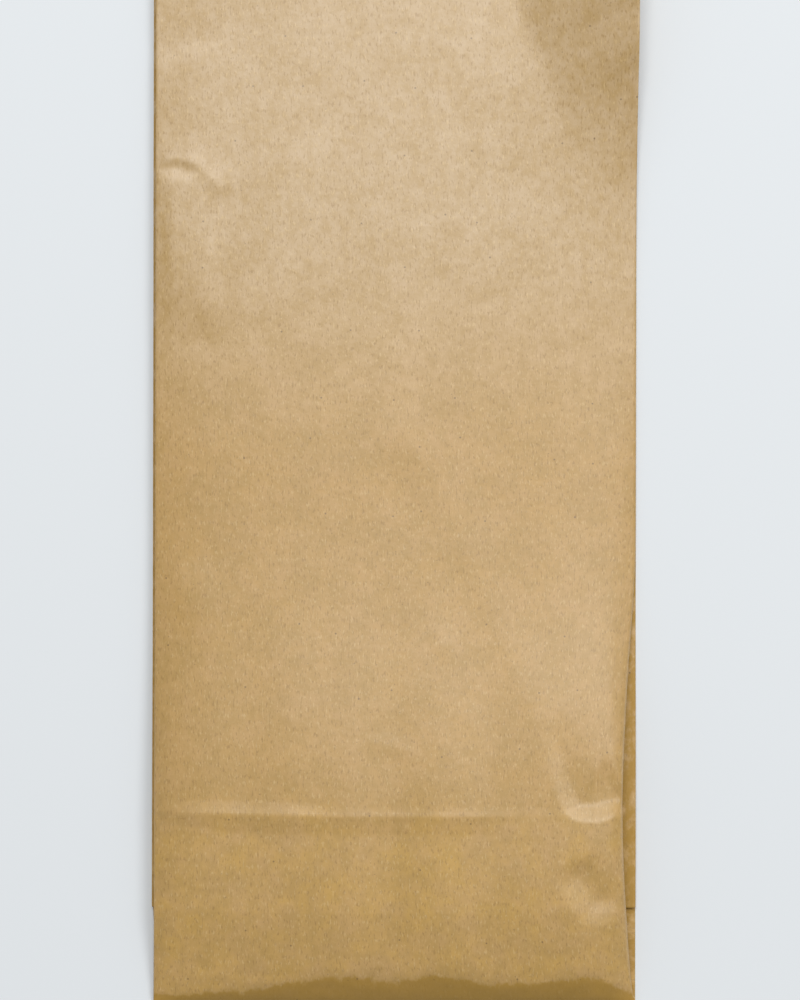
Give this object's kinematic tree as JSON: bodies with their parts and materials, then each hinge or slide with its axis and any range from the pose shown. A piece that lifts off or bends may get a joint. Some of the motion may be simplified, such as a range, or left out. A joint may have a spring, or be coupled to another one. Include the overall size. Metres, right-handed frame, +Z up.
{
  "type": "paper lunch bag",
  "caption": "Flat-bottomed brown kraft paper lunch bag with side gussets, folded flat and lying on its back with its base turned up behind it.",
  "frame": {"origin": "middle of the folded bag's footprint, on the surface that it lies on", "axes": "+Y along the bag from the bottom fold to the mouth, +Z up through the layers to the front panel, +X across the bag"},
  "size_m": [0.13, 0.28, 0.0115],
  "materials": {
    "kraft_paper": "unprinted brown kraft paper, matt with a faint sheen on its smoother side"
  },
  "bodies": {
    "root": {"paper_bag": "kraft_paper"}
  },
  "joints": []
}
